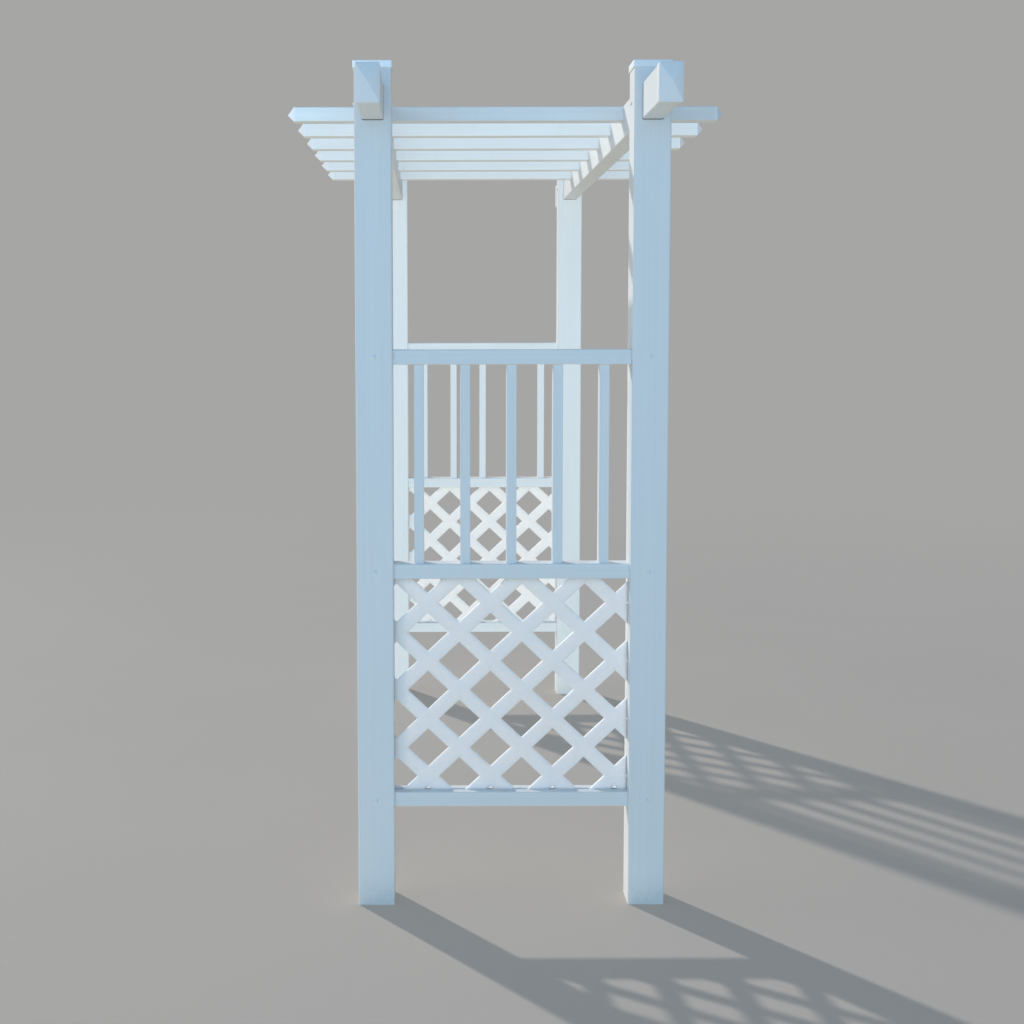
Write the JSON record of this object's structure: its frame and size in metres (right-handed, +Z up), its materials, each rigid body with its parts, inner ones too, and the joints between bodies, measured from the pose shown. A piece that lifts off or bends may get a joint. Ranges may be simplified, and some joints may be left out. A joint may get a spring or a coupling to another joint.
{
  "type": "garden arbor",
  "caption": "White vinyl garden arbor with hollow square posts, picket and lattice side panels, header beams through the posts and rafters with pyramid end caps.",
  "frame": {"origin": "centre of the arbor's footprint on the ground, at the bottom of its bounding box", "axes": "+Z up; +X along the side panels, which is the way one walks through; +Y from the front panel to the rear panel, along the header beams; the picture looks along +Y at the front panel"},
  "size_m": [1.1378, 2.8026, 2.05],
  "materials": {
    "white_vinyl": "satin",
    "steel": "satin"
  },
  "bodies": {
    "root": {"front_left_post": "white_vinyl", "front_right_post": "white_vinyl", "rear_left_post": "white_vinyl", "rear_right_post": "white_vinyl", "front_left_post_cap": "white_vinyl", "front_right_post_cap": "white_vinyl", "rear_left_post_cap": "white_vinyl", "rear_right_post_cap": "white_vinyl", "left_beam": "white_vinyl", "right_beam": "white_vinyl", "front_left_beam_cap": "white_vinyl", "front_right_beam_cap": "white_vinyl", "rear_left_beam_cap": "white_vinyl", "rear_right_beam_cap": "white_vinyl", "rafter_1": "white_vinyl", "rafter_2": "white_vinyl", "rafter_3": "white_vinyl", "rafter_4": "white_vinyl", "rafter_5": "white_vinyl", "rafter_6": "white_vinyl", "rafter_1_left_cap": "white_vinyl", "rafter_1_right_cap": "white_vinyl", "rafter_2_left_cap": "white_vinyl", "rafter_2_right_cap": "white_vinyl", "rafter_3_left_cap": "white_vinyl", "rafter_3_right_cap": "white_vinyl", "rafter_4_left_cap": "white_vinyl", "rafter_4_right_cap": "white_vinyl", "rafter_5_left_cap": "white_vinyl", "rafter_5_right_cap": "white_vinyl", "rafter_6_left_cap": "white_vinyl", "rafter_6_right_cap": "white_vinyl", "front_top_rail": "white_vinyl", "front_middle_rail": "white_vinyl", "front_bottom_rail": "white_vinyl", "rear_top_rail": "white_vinyl", "rear_middle_rail": "white_vinyl", "rear_bottom_rail": "white_vinyl", "front_picket_1": "white_vinyl", "front_picket_2": "white_vinyl", "front_picket_3": "white_vinyl", "front_picket_4": "white_vinyl", "front_picket_5": "white_vinyl", "rear_picket_1": "white_vinyl", "rear_picket_2": "white_vinyl", "rear_picket_3": "white_vinyl", "rear_picket_4": "white_vinyl", "rear_picket_5": "white_vinyl", "front_lattice": "white_vinyl", "rear_lattice": "white_vinyl", "rail_screws": "steel", "rail_screw_covers": "white_vinyl", "beam_screws": "steel", "beam_screw_covers": "white_vinyl", "rafter_screws": "steel", "rafter_screw_covers": "white_vinyl"}
  },
  "joints": []
}
